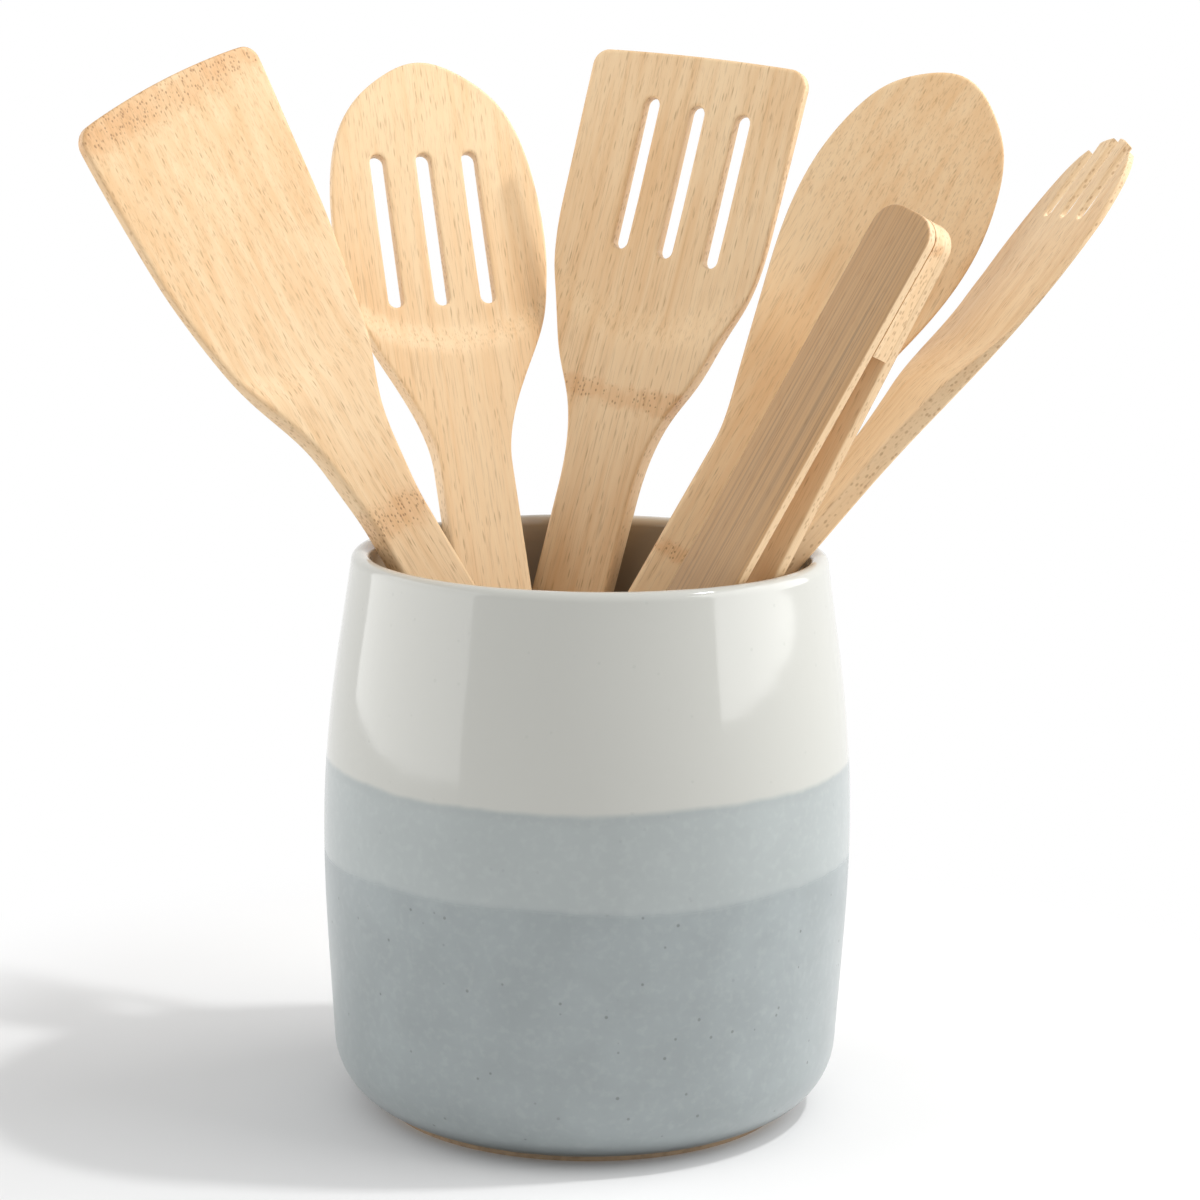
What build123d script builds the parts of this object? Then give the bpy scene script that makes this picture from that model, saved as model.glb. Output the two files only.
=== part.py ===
from build123d import *
import math
import os

# A stoneware utensil crock with six bamboo utensils standing in it.
# Millimetres, +Z up, origin on the crock's axis in the plane it stands on.
# The viewer stands on the -Y side, and +X is to the viewer's right.

# Crock
crock_height = 155.5
rim_radius = 65.6
shoulder_radius = 70.2
shoulder_height = 121.0
belly_radius = 73.0
belly_height = 84.0
heel_radius = 70.2
heel_height = 19.0
heel_lean_share = 0.06
foot_radius = 57.0
foot_height = 1.6
wall = 5.4
floor_thickness = 6.4
inner_corner_radius = 13.0

# Room between pieces that only rest on each other
rest_gap = 0.35

# What the bamboo utensils share
handle_width = 22.0
handle_thickness = 7.6
back_crown_radius = 200.0
bend_start_share = 0.45
crease_share = 0.70
hollow_middle_share = 0.86
handle_corner = 6.0
edge_overrun = 4.0
tip_thickness_share = 0.62

# Solid turner
solid_turner_length = 312.5
solid_turner_handle_width = 19.0
solid_turner_neck_width = 18.0
solid_turner_head_width = 60.0
solid_turner_bend_rise = 14.0
solid_turner_hollow = 2.4
solid_turner_corner = 5.0
solid_turner_end_bulge = 2.2
solid_turner_end_slant = -2.0

# Slotted turner
slotted_turner_length = 289.6
slotted_turner_neck_width = 23.2
slotted_turner_head_width = 67.4
slotted_turner_bend_rise = 3.0
slotted_turner_hollow = 2.0
slotted_turner_corner = 5.0
slotted_turner_end_bulge = 0.8
slotted_turner_end_slant = 5.0

# Slotted spoon
slotted_spoon_length = 300.5
slotted_spoon_neck_width = 22.0
slotted_spoon_head_width = 63.6
slotted_spoon_bend_rise = 3.0
slotted_spoon_hollow = 2.4

# Solid spoon
solid_spoon_length = 312.5
solid_spoon_neck_width = 22.4
solid_spoon_head_width = 53.0
solid_spoon_bend_rise = 14.0
solid_spoon_hollow = 4.0

# Spork
spork_length = 312.0
spork_thickness = 6.0
spork_handle_width = 15.0
spork_neck_width = 20.6
spork_head_width = 56.0
spork_bend_rise = 6.0
spork_hollow = 3.6
tine_gap = 5.0
tine_length = 27.0
tine_pitch = 12.4
tine_gap_count = 3

# Half width of each head along its length: share of the length, share of the way from neck to full width
solid_turner_side_shares = (
    (0.571, 0.0), (0.619, 0.06), (0.6635, 0.165), (0.727, 0.53), (0.789, 0.76), (0.845, 0.885),
    (0.90, 0.94),
)
slotted_turner_side_shares = (
    (0.5525, 0.0), (0.608, 0.06), (0.6457, 0.21), (0.682, 0.45), (0.7355, 0.70), (0.772, 0.88),
    (0.853, 0.99),
)
slotted_spoon_side_shares = ((0.592, 0.0), (0.6456, 0.17), (0.689, 0.47), (0.722, 0.71), (0.789, 0.97))
solid_spoon_side_shares = ((0.606, 0.0), (0.667, 0.22), (0.75, 0.64), (0.798, 0.87))
spork_side_shares = ((0.56, 0.0), (0.66, 0.14), (0.74, 0.60), (0.80, 0.90))

# Half width of each round tip: share of the length, share of the full width
slotted_spoon_tip_shares = ((0.838, 1.0), (0.885, 0.96), (0.958, 0.70), (0.985, 0.40))
solid_spoon_tip_shares = ((0.872, 1.0), (0.923, 0.90), (0.962, 0.70), (0.984, 0.44))
spork_tip_shares = ((0.865, 1.0), (0.935, 0.88), (0.978, 0.64))

# Slots of the slotted spoon and the slotted turner
slot_width = 4.6
slot_count = 3
spoon_slot_length = 46.3
spoon_slot_pitch = 14.0
spoon_slot_top = 27.5
spoon_slot_shift = -2.2
turner_slot_length = 44.5
turner_slot_pitch = 14.6
turner_slot_top = 13.8
turner_slot_shift = 2.6

# Tongs
tongs_length = 255.0
tongs_width = 18.5
arm_thickness = 4.0
wedge_length = 38.0
wedge_top_thickness = 4.6
wedge_bottom_thickness = 6.9
tongs_end_corner = 6.5
tongs_tip_corner = 5.0
glue_line = 0.05
arm_spread_share = 0.45

# Where each piece stands: the azimuths of its foot and its place on the rim, the turn of its face to the
# viewer's right, and how far its foot is from the crock's axis as a share of the radius inside the heel
solid_turner_foot_degrees = 6.9
solid_turner_foot_reach_share = 0.6080
solid_turner_rim_degrees = 174.6
solid_turner_turn_degrees = 36.1
slotted_spoon_foot_degrees = 254.5
slotted_spoon_foot_reach_share = 0.2840
slotted_spoon_rim_degrees = 126.8
slotted_spoon_turn_degrees = 22.2
slotted_turner_foot_degrees = 140.6
slotted_turner_foot_reach_share = 0.7284
slotted_turner_rim_degrees = 90.8
slotted_turner_turn_degrees = -27.6
solid_spoon_foot_degrees = 158.2
solid_spoon_foot_reach_share = 0.8009
solid_spoon_rim_degrees = 48.2
solid_spoon_turn_degrees = -8.7
spork_foot_degrees = 206.4
spork_foot_reach_share = 0.9151
spork_foot_height = 33.4
spork_rim_degrees = 3.5
spork_turn_degrees = -81.5
tongs_foot_degrees = 231.9
tongs_foot_reach_share = 0.7577
tongs_foot_height = 23.0
tongs_rim_degrees = -42.0
tongs_turn_degrees = -39.7


# Shared helpers

def inner_wall_line():
    """The inside of the wall, from the floor's corner up to the lip, as a curve in the XZ plane."""
    return Spline(
        (heel_radius - wall, heel_height),
        (belly_radius - wall, belly_height),
        (shoulder_radius - wall, shoulder_height),
        (rim_radius - wall, crock_height - wall / 2),
        tangents=[(heel_lean_share, 1), (rim_radius - shoulder_radius, crock_height - shoulder_height)],
    )


def outer_wall_line():
    """The outside of the wall, from the heel up to the lip, as a curve in the XZ plane."""
    return Spline(
        (heel_radius, heel_height),
        (belly_radius, belly_height),
        (shoulder_radius, shoulder_height),
        (rim_radius, crock_height - wall / 2),
        tangents=[(heel_lean_share, 1), (rim_radius - shoulder_radius, crock_height - shoulder_height)],
    )


def lean_frame(direction, turn):
    """The width and front directions of a handle that points along direction."""
    toward_viewer = Vector(0, -1, 0)
    front = (toward_viewer - direction * toward_viewer.dot(direction)).normalized()
    across = direction.cross(front)
    cosine = math.cos(math.radians(turn))
    sine = math.sin(math.radians(turn))
    turned_front = front * cosine + across * sine
    turned_across = across * cosine - front * sine
    return turned_across, turned_front


def rim_seat(foot, azimuth, turn, half_width, half_depth):
    """The direction in which a handle from foot touches the lip, and its width and front directions."""
    lip_height = crock_height - wall / 2
    out_x = math.cos(math.radians(azimuth))
    out_y = math.sin(math.radians(azimuth))
    radius = rim_radius - wall - half_depth
    for _ in range(8):
        target = Vector(radius * out_x, radius * out_y, lip_height)
        direction = (target - foot).normalized()
        across, front = lean_frame(direction, turn)
        outward = direction.X * out_x + direction.Y * out_y
        room = (wall / 2 + rest_gap) * math.hypot(direction.Z, outward) / direction.Z
        reach = rim_radius - wall / 2 - room
        radii = []
        for side in (-1, 1):
            for face in (-1, 1):
                corner = across * (side * half_width) + front * (face * half_depth)
                corner = corner - direction * (corner.Z / direction.Z)
                along = corner.X * out_x + corner.Y * out_y
                offset = corner.X ** 2 + corner.Y ** 2
                radii.append(math.sqrt(reach ** 2 + along ** 2 - offset) - along)
        radius = min(radii)
    return direction, across, front


def floor_seat(direction, across, front, half_width, half_depth):
    """The height of the middle of a bottom end whose rounded corner stands on the crock's floor."""
    corner_rise = abs(across.Z) + direction.Z - math.hypot(across.Z, direction.Z)
    reach = half_width * abs(across.Z) + half_depth * abs(front.Z) - handle_corner * corner_rise
    return floor_thickness + rest_gap + reach


def stand_plane(foot_azimuth, reach_share, azimuth, turn, half_width, half_depth, foot_height=None):
    """The plane of a piece's bottom end: X across, Y to its back, Z along the handle."""
    reach = (heel_radius - wall) * reach_share
    foot_x = reach * math.cos(math.radians(foot_azimuth))
    foot_y = reach * math.sin(math.radians(foot_azimuth))
    height = floor_thickness if foot_height is None else foot_height
    for _ in range(5):
        foot = Vector(foot_x, foot_y, height)
        direction, across, front = rim_seat(foot, azimuth, turn, half_width, half_depth)
        if foot_height is None:
            height = floor_seat(direction, across, front, half_width, half_depth)
    return Plane(origin=foot, x_dir=across, z_dir=direction)


def bend_radius(length, rise):
    """The radius of the bend that brings the tip forward by rise."""
    return (length - length * bend_start_share) ** 2 / (2 * rise)


def bent_slab(length, width, thickness, rise):
    """A slab along Z with a crowned back, straight to the bend, then curving to the front (-Y) and thinning."""
    bend_start = length * bend_start_share
    radius = bend_radius(length, rise)
    half = width / 2 + edge_overrun
    back_edge = thickness / 2 - half ** 2 / (2 * back_crown_radius)
    with BuildSketch() as section:
        with BuildLine():
            Polyline(
                (half, back_edge),
                (half, -thickness / 2),
                (-half, -thickness / 2),
                (-half, back_edge),
            )
            ThreePointArc((-half, back_edge), (0, thickness / 2), (half, back_edge))
        make_face()
    straight = extrude(section.sketch, amount=bend_start)
    sweep_angle = math.degrees((length - bend_start + rise + edge_overrun) / radius)
    bend_axis = Axis((0, -radius, bend_start), (1, 0, 0))
    curved = revolve(Pos(0, 0, bend_start) * section.sketch, bend_axis, sweep_angle)
    back_radius = bend_radius(length, rise + thickness * (1 - tip_thickness_share))
    back = Cylinder(back_radius, width + 4 * edge_overrun, rotation=(0, 90, 0))
    thinned = curved & (Pos(0, thickness / 2 - back_radius, bend_start) * back)
    return straight + thinned


def front_hollow(length, thickness, rise, depth):
    """The ball that hollows the front of a head, from its crease at the neck to beyond its middle."""
    radius = bend_radius(length, rise)
    half_chord = length * (hollow_middle_share - crease_share)
    ball_radius = 1 / (2 * depth / half_chord ** 2 + 1 / radius)
    angle = length * (hollow_middle_share - bend_start_share) / radius
    reach = radius - thickness / 2 + depth - ball_radius
    centre_y = -radius + reach * math.cos(angle)
    centre_z = length * bend_start_share + reach * math.sin(angle)
    return Pos(0, centre_y, centre_z) * Sphere(ball_radius)


def head_side(length, neck_width, head_width, side_shares):
    """The points of a head's right edge, from its neck to its full width."""
    widening = (head_width - neck_width) / 2
    return [(neck_width / 2 + widening * out, length * along) for along, out in side_shares]


def round_ended(length, widths, side_shares, tip_shares):
    """The outline of a spoon on its face, in the XZ plane."""
    handle, neck, head = widths
    side = head_side(length, neck, head, side_shares)
    tip = [(head / 2 * out, length * along) for along, out in tip_shares]
    with BuildSketch(Plane.XZ) as sketch:
        with BuildLine():
            Line((0, 0), (handle / 2, 0))
            Line((handle / 2, 0), side[0])
            Spline(*side, *tip, (0, length), tangents=[(0, 1), (-1, 0)])
            mirror(about=Plane.YZ)
        make_face()
        bottom = sketch.vertices().group_by(Axis.Y)[0].sort_by(Axis.X)
        fillet([bottom[0], bottom[-1]], handle_corner)
    return sketch.sketch


def flat_ended(length, widths, side_shares, end_bulge, end_slant, end_corner):
    """The outline of a turner on its face, in the XZ plane; its end rises to the right by the slant."""
    handle, neck, head = widths
    ends = []
    with BuildSketch(Plane.XZ) as sketch:
        with BuildLine():
            Line((-handle / 2, 0), (handle / 2, 0))
            for sign in (1, -1):
                side = [(sign * out, along) for out, along in head_side(length, neck, head, side_shares)]
                end = (sign * head / 2, length - end_bulge + sign * end_slant / 2)
                Line((sign * handle / 2, 0), side[0])
                Spline(*side, end, tangents=[(0, 1), (0, 1)])
                ends.append(end)
            ThreePointArc(ends[0], (0, length), ends[1])
        make_face()
        bottom = sketch.vertices().group_by(Axis.Y)[0].sort_by(Axis.X)
        fillet([bottom[0], bottom[-1]], handle_corner)
        ends = sketch.vertices().sort_by(Axis.X)
        fillet([ends[0], ends[-1]], end_corner)
    return sketch.sketch


def utensil(outline, length, width, thickness, rise, hollow):
    """A utensil cut from its bent slab by its outline, its head hollowed in front."""
    cutter = extrude(outline, amount=rise + thickness + edge_overrun, both=True)
    board = bent_slab(length, width, thickness, rise) & cutter
    return board - front_hollow(length, thickness, rise, hollow)


def slot_cutter(count, slot_length, pitch, shift, top, width, reach):
    """Round-ended slots side by side, their upper ends at top."""
    with BuildSketch(Plane.XZ) as sketch:
        for index in range(count):
            across = (index - (count - 1) / 2) * pitch + shift
            with Locations((across, top - slot_length / 2)):
                SlotOverall(slot_length, width, rotation=90)
    return extrude(sketch.sketch, amount=reach, both=True)


# Crock

def make_crock():
    """The thrown body: flat foot, rounded heel, barrel wall and round lip, hollow inside."""
    lip_height = crock_height - wall / 2
    floor_edge = heel_radius - wall - inner_corner_radius
    heel_down = (-heel_lean_share, -1)
    with BuildSketch(Plane.XZ) as section:
        with BuildLine():
            add(outer_wall_line())
            TangentArc((heel_radius, heel_height), (foot_radius, foot_height), tangent=heel_down)
            Polyline(
                (foot_radius, foot_height),
                (foot_radius - foot_height / 2, 0),
                (0, 0),
                (0, floor_thickness),
                (floor_edge, floor_thickness),
            )
            TangentArc((heel_radius - wall, heel_height), (floor_edge, floor_thickness), tangent=heel_down)
            add(inner_wall_line())
            ThreePointArc(
                (rim_radius - wall, lip_height),
                (rim_radius - wall / 2, crock_height),
                (rim_radius, lip_height),
            )
        make_face()
    return revolve(section.sketch, Axis.Z)


# Utensils

def make_solid_turner():
    """The solid turner: a dished blade with a gently bowed end."""
    widths = (solid_turner_handle_width, solid_turner_neck_width, solid_turner_head_width)
    outline = flat_ended(solid_turner_length, widths, solid_turner_side_shares,
                         solid_turner_end_bulge, solid_turner_end_slant, solid_turner_corner)
    return utensil(outline, solid_turner_length, solid_turner_head_width, handle_thickness,
                   solid_turner_bend_rise, solid_turner_hollow)


def make_slotted_turner():
    """The slotted turner: a straight-ended blade with three slots."""
    widths = (handle_width, slotted_turner_neck_width, slotted_turner_head_width)
    outline = flat_ended(slotted_turner_length, widths, slotted_turner_side_shares,
                         slotted_turner_end_bulge, slotted_turner_end_slant, slotted_turner_corner)
    body = utensil(outline, slotted_turner_length, slotted_turner_head_width, handle_thickness,
                   slotted_turner_bend_rise, slotted_turner_hollow)
    return body - slot_cutter(slot_count, turner_slot_length, turner_slot_pitch, turner_slot_shift,
                              slotted_turner_length - turner_slot_top, slot_width,
                              slotted_turner_bend_rise + handle_thickness + edge_overrun)


def make_slotted_spoon():
    """The slotted spoon: a broad oval head with three slots."""
    widths = (handle_width, slotted_spoon_neck_width, slotted_spoon_head_width)
    outline = round_ended(slotted_spoon_length, widths, slotted_spoon_side_shares, slotted_spoon_tip_shares)
    body = utensil(outline, slotted_spoon_length, slotted_spoon_head_width, handle_thickness,
                   slotted_spoon_bend_rise, slotted_spoon_hollow)
    return body - slot_cutter(slot_count, spoon_slot_length, spoon_slot_pitch, spoon_slot_shift,
                              slotted_spoon_length - spoon_slot_top, slot_width,
                              slotted_spoon_bend_rise + handle_thickness + edge_overrun)


def make_solid_spoon():
    """The solid spoon: a long oval bowl."""
    widths = (handle_width, solid_spoon_neck_width, solid_spoon_head_width)
    outline = round_ended(solid_spoon_length, widths, solid_spoon_side_shares, solid_spoon_tip_shares)
    return utensil(outline, solid_spoon_length, solid_spoon_head_width, handle_thickness,
                   solid_spoon_bend_rise, solid_spoon_hollow)


def make_spork():
    """The spork: a deep bowl whose end is cut into four tines."""
    widths = (spork_handle_width, spork_neck_width, spork_head_width)
    outline = round_ended(spork_length, widths, spork_side_shares, spork_tip_shares)
    body = utensil(outline, spork_length, spork_head_width, spork_thickness, spork_bend_rise, spork_hollow)
    return body - slot_cutter(tine_gap_count, 2 * tine_length, tine_pitch, 0, spork_length + tine_length,
                              tine_gap, spork_bend_rise + spork_thickness + edge_overrun)


# Tongs

def splay():
    """The angle in degrees by which the wedge's taper turns each arm outwards."""
    step = (wedge_bottom_thickness - wedge_top_thickness) / 2
    return math.degrees(math.atan(step / wedge_length))


def make_wedge():
    """The wedge glued between the arms at their joined end."""
    top_half = wedge_top_thickness / 2 - glue_line
    bottom_half = wedge_bottom_thickness / 2 - glue_line
    with BuildSketch(Plane.YZ) as section:
        with BuildLine():
            Polyline(
                (-top_half, tongs_length),
                (top_half, tongs_length),
                (bottom_half, tongs_length - wedge_length),
                (-bottom_half, tongs_length - wedge_length),
                close=True,
            )
        make_face()
    block = extrude(section.sketch, amount=tongs_width / 2, both=True)
    top_corners = block.edges().filter_by(Axis.Y).sort_by(Axis.Z)[-2:]
    return fillet(top_corners, tongs_end_corner)


def make_arm(side):
    """One straight arm; side is -1 for the front arm and 1 for the rear arm."""
    with BuildSketch(Plane.XZ) as face:
        with Locations((0, -tongs_length / 2)):
            Rectangle(tongs_width, tongs_length)
        fillet(face.vertices().group_by(Axis.Y)[-1], tongs_end_corner)
        fillet(face.vertices().group_by(Axis.Y)[0], tongs_tip_corner)
    board = extrude(face.sketch, amount=-side * arm_thickness)
    turned = board.rotate(Axis.X, side * splay())
    return Pos(0, side * wedge_top_thickness / 2, tongs_length) * turned


# Places

def arm_spread():
    """Half the outside depth of the open tongs at the crock's lip, from the length that stands inside."""
    below = tongs_length * arm_spread_share
    return wedge_top_thickness / 2 + arm_thickness + math.tan(math.radians(splay())) * below


def handle_plane(foot_azimuth, reach_share, azimuth, turn, width=handle_width, thickness=handle_thickness,
                 foot_height=None):
    """The standing plane of a utensil."""
    return stand_plane(foot_azimuth, reach_share, azimuth, turn, width / 2, thickness / 2, foot_height)


def main():
    """Makes every piece in its place and writes it."""
    os.makedirs("parts", exist_ok=True)
    turner_plane = handle_plane(solid_turner_foot_degrees, solid_turner_foot_reach_share,
                                solid_turner_rim_degrees, solid_turner_turn_degrees,
                                solid_turner_handle_width)
    slotted_spoon_plane = handle_plane(slotted_spoon_foot_degrees, slotted_spoon_foot_reach_share,
                                       slotted_spoon_rim_degrees, slotted_spoon_turn_degrees)
    slotted_turner_plane = handle_plane(slotted_turner_foot_degrees, slotted_turner_foot_reach_share,
                                        slotted_turner_rim_degrees, slotted_turner_turn_degrees)
    solid_spoon_plane = handle_plane(solid_spoon_foot_degrees, solid_spoon_foot_reach_share,
                                     solid_spoon_rim_degrees, solid_spoon_turn_degrees)
    spork_plane = handle_plane(spork_foot_degrees, spork_foot_reach_share, spork_rim_degrees,
                               spork_turn_degrees, spork_neck_width, spork_thickness, spork_foot_height)
    tongs_plane = stand_plane(tongs_foot_degrees, tongs_foot_reach_share, tongs_rim_degrees,
                              tongs_turn_degrees, tongs_width / 2, arm_spread(), tongs_foot_height)
    pieces = {
        "crock": (Plane.XY, make_crock()),
        "solid_turner": (turner_plane, make_solid_turner()),
        "slotted_spoon": (slotted_spoon_plane, make_slotted_spoon()),
        "slotted_turner": (slotted_turner_plane, make_slotted_turner()),
        "solid_spoon": (solid_spoon_plane, make_solid_spoon()),
        "spork": (spork_plane, make_spork()),
        "tongs_wedge": (tongs_plane, make_wedge()),
        "tongs_front_arm": (tongs_plane, make_arm(-1)),
        "tongs_rear_arm": (tongs_plane, make_arm(1)),
    }
    for name, (plane, piece) in pieces.items():
        placed = plane.location * piece
        export_step(placed, f"parts/{name}.step")
        print(name, "foot", plane.origin, "along", plane.z_dir, "across", plane.x_dir)


main()
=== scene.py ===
"""A stoneware utensil crock and the bamboo utensils that stand in it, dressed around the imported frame."""
import math

import bmesh
import bpy
import numpy as np
from bpy.props import FloatProperty, FloatVectorProperty, PointerProperty
from mathutils import Matrix, Vector


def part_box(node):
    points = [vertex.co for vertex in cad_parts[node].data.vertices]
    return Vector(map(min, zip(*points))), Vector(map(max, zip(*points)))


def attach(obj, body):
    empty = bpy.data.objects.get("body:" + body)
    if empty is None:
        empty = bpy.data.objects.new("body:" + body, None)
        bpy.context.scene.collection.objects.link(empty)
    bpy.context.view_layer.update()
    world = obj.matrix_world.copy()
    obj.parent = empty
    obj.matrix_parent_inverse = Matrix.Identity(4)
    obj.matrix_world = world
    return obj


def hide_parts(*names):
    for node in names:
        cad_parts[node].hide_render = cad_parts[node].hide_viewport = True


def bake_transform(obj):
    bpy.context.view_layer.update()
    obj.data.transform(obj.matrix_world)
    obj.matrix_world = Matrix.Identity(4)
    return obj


bl_info = {
    "name": "Utensil crock",
    "version": (1, 0, 0),
    "blender": (4, 5, 0),
    "location": "3D View > Sidebar > Utensil crock",
    "description": "Builds a glazed stoneware crock with bamboo turners, spoons, a spork and tongs",
    "category": "Object",
}

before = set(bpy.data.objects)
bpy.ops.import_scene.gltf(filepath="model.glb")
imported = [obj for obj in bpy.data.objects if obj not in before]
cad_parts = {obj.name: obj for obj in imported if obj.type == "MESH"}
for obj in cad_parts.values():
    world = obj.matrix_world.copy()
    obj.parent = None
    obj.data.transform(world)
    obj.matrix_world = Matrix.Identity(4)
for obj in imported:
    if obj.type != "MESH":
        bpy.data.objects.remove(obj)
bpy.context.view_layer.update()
crock_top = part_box("crock")[1][2]

# Fineness of the meshes
GRID_PITCH = 0.0014
HANDLE_CUTS = 12
EDGE_SEGMENTS = 4
CORNER_SEGMENTS = 8
ARC_STEPS = 8
CROCK_SEGMENTS = 256
SHARP_ANGLE = math.radians(42)
MERGE_DISTANCE = 1e-6

# Where each board stands: its foot in millimetres, then the directions along it and across it
STANDS = {
    "solid_turner": ((39.1131, 4.7332, 9.96722), (-0.519385, -0.001342, 0.85454), (0.690049, 0.589196, 0.420333)),
    "slotted_turner": ((-36.4733, 29.9595, 8.45132), (0.238138, 0.1393, 0.96119), (0.875717, -0.458779, -0.150473)),
    "slotted_spoon": ((-4.91804, -17.7339, 8.42653), (-0.164484, 0.373575, 0.9129), (0.936228, 0.350485, 0.025263)),
    "solid_spoon": ((-48.1869, 19.2734, 10.4478), (0.488804, 0.101332, 0.866489), (0.868481, -0.150482, -0.47233)),
    "spork": ((-53.1143, -26.3662, 33.4), (0.651438, 0.18243, 0.736443), (0.230253, -0.972419, 0.037209)),
    "tongs": ((-30.2958, -38.6377, 23), (0.455403, 0.041573, 0.889314), (0.696934, -0.638216, -0.327053)),
}

# Sizes in metres that several boards share, and the tongs' arm edge, cut pitch and skin depths
BOARD_THICKNESS = 0.0076
FOOT_CORNER = 0.006
SLOT_WIDTH = 0.0046
BACK_RADIUS = 0.2
ARM_EDGE = 0.0006
ARM_PITCH = 0.004
FRONT_SKIN = 0.0009
REAR_SKIN = 0.0007

# The utensils' heads, as shares of their length, width or thickness
BEND_START_SHARE = 0.45
CREASE_SHARE = 0.70
CREASE_HALF_WIDTH_SHARE = 0.52
CREASE_RISE_SHARE = 0.30
TIP_THICKNESS_SHARE = 0.62
TIP_HOLLOW_SHARE = 0.35
TINES_ABOVE_SHARE = 0.8
FINE_ABOVE_SHARE = 0.42

# The grain's cells per metre across, through and along a board
FIBRES = (2500.0, 2500.0, 85.0)
STRIPS = (420.0, 420.0, 6.0)
CLOUDS = (34.0, 34.0, 14.0)
BUNDLES = (1250.0, 1250.0, 165.0)
SIDE_SPECKS = (980.0, 980.0, 520.0)
BAND_SPECKS = (1250.0, 1250.0, 800.0)
SKIN_LINES = (1500.0, 200.0, 9.0)
NO_BAND = -1.0

# The lamps' places, aims and extents, and the camera of the photograph
LAMPS = {
    "softbox_right": ((0.92, 0.02, 0.58), (0, 0, 0.36), (1.30, 0.95)),
    "softbox_left": ((-0.92, -0.02, 0.32), (0, 0, 0.21), (1.30, 1.25)),
    "key_lamp": ((0.533, 0.0, 1.015), (0, 0, 0.11), (0.06, 0.06)),
}
CAMERA_PLACE = (0.00284, -0.900, 0.30958)
CAMERA_PITCH = -0.1844
CAMERA_ROLL = 0.0121
CAMERA_LENS = 99.76
SENSOR_WIDTH = 36.0


# Settings

def size(name, description, default):
    """A length in metres that a user may change."""
    return FloatProperty(name=name, description=description, default=default, unit="LENGTH", precision=4)


def share(name, description, default):
    """A share between nothing and one."""
    return FloatProperty(name=name, description=description, default=default, min=0.0, max=1.0, subtype="FACTOR")


def colour(name, description, default):
    """A colour that a user may change."""
    return FloatVectorProperty(name=name, description=description, default=default, size=3, min=0.0, max=1.0,
                               subtype="COLOR")


class CrockSettings(bpy.types.PropertyGroup):
    """Sizes and glazes of the crock."""
    height: size("Height", "From the worktop to the top of the lip", crock_top)
    rim_radius: size("Rim radius", "Outer radius just under the lip", 0.0656)
    shoulder_radius: size("Shoulder radius", "Outer radius below the neck", 0.0702)
    shoulder_height: size("Shoulder height", "Height of the shoulder", 0.121)
    belly_radius: size("Belly radius", "Greatest outer radius", 0.073)
    belly_height: size("Belly height", "Height of the belly", 0.084)
    heel_radius: size("Heel radius", "Outer radius where the wall turns under", 0.0702)
    heel_height: size("Heel height", "Height at which the wall turns under", 0.019)
    foot_radius: size("Foot radius", "Outer radius of the flat foot", 0.057)
    foot_height: size("Foot height", "Height of the foot's slanted edge", 0.0016)
    wall: size("Wall", "Thickness of the wall", 0.0054)
    floor: size("Floor", "Thickness of the floor", 0.0064)
    inner_corner: size("Inner corner", "Width of the rounded corner inside", 0.013)
    upper_line: size("Upper glaze line", "Height where the white glaze ends", 0.0992)
    lower_line: size("Lower glaze line", "Height where the middle glaze ends", 0.0730)
    top_glaze: colour("Top glaze", "Warm white", (0.49, 0.49, 0.455))
    middle_glaze: colour("Middle glaze", "Pale blue grey", (0.345, 0.375, 0.372))
    bottom_glaze: colour("Bottom glaze", "Blue grey", (0.268, 0.298, 0.302))
    inside_glaze: colour("Inside glaze", "Warm beige brown", (0.42, 0.34, 0.25))
    bare_clay: colour("Bare clay", "The unglazed foot", (0.42, 0.30, 0.19))


class BambooSettings(bpy.types.PropertyGroup):
    """Colours of the bamboo and the rounding of its edges."""
    edge: size("Edge rounding", "Radius on the boards' edges", 0.0013)
    pale: colour("Pale bamboo", "The lightest fibres", (0.86, 0.64, 0.39))
    warm: colour("Warm bamboo", "The deeper fibres", (0.76, 0.49, 0.25))
    streak: colour("Streaks", "The short dark fibre bundles", (0.30, 0.155, 0.06))
    side: colour("Sides", "The boards' narrow sides", (0.62, 0.44, 0.26))
    dark: colour("Dark bamboo", "The outer face of the front tong", (0.47, 0.265, 0.115))


class SolidTurnerSettings(bpy.types.PropertyGroup):
    """Sizes of the solid turner."""
    length: size("Length", "From the foot to the end of the blade", 0.3125)
    handle: size("Handle width", "Width at the foot", 0.019)
    neck: size("Neck width", "Width where the blade begins to spread", 0.018)
    head: size("Blade width", "Width of the blade", 0.060)
    rise: size("Bend", "How far the end comes forward", 0.014)
    hollow: size("Hollow", "Depth of the dished front", 0.0024)
    ramp: size("Ramp", "Length over which the hollow reaches its depth", 0.013)
    corner: size("Corner", "Rounding of the blade's corners", 0.005)


class SlottedTurnerSettings(bpy.types.PropertyGroup):
    """Sizes of the slotted turner."""
    length: size("Length", "From the foot to the end of the blade", 0.2896)
    handle: size("Handle width", "Width at the foot", 0.022)
    neck: size("Neck width", "Width where the blade begins to spread", 0.0232)
    head: size("Blade width", "Width of the blade", 0.0674)
    rise: size("Bend", "How far the end comes forward", 0.003)
    hollow: size("Hollow", "Depth of the dished front", 0.002)
    ramp: size("Ramp", "Length over which the hollow reaches its depth", 0.016)
    corner: size("Corner", "Rounding of the blade's corners", 0.005)


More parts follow.
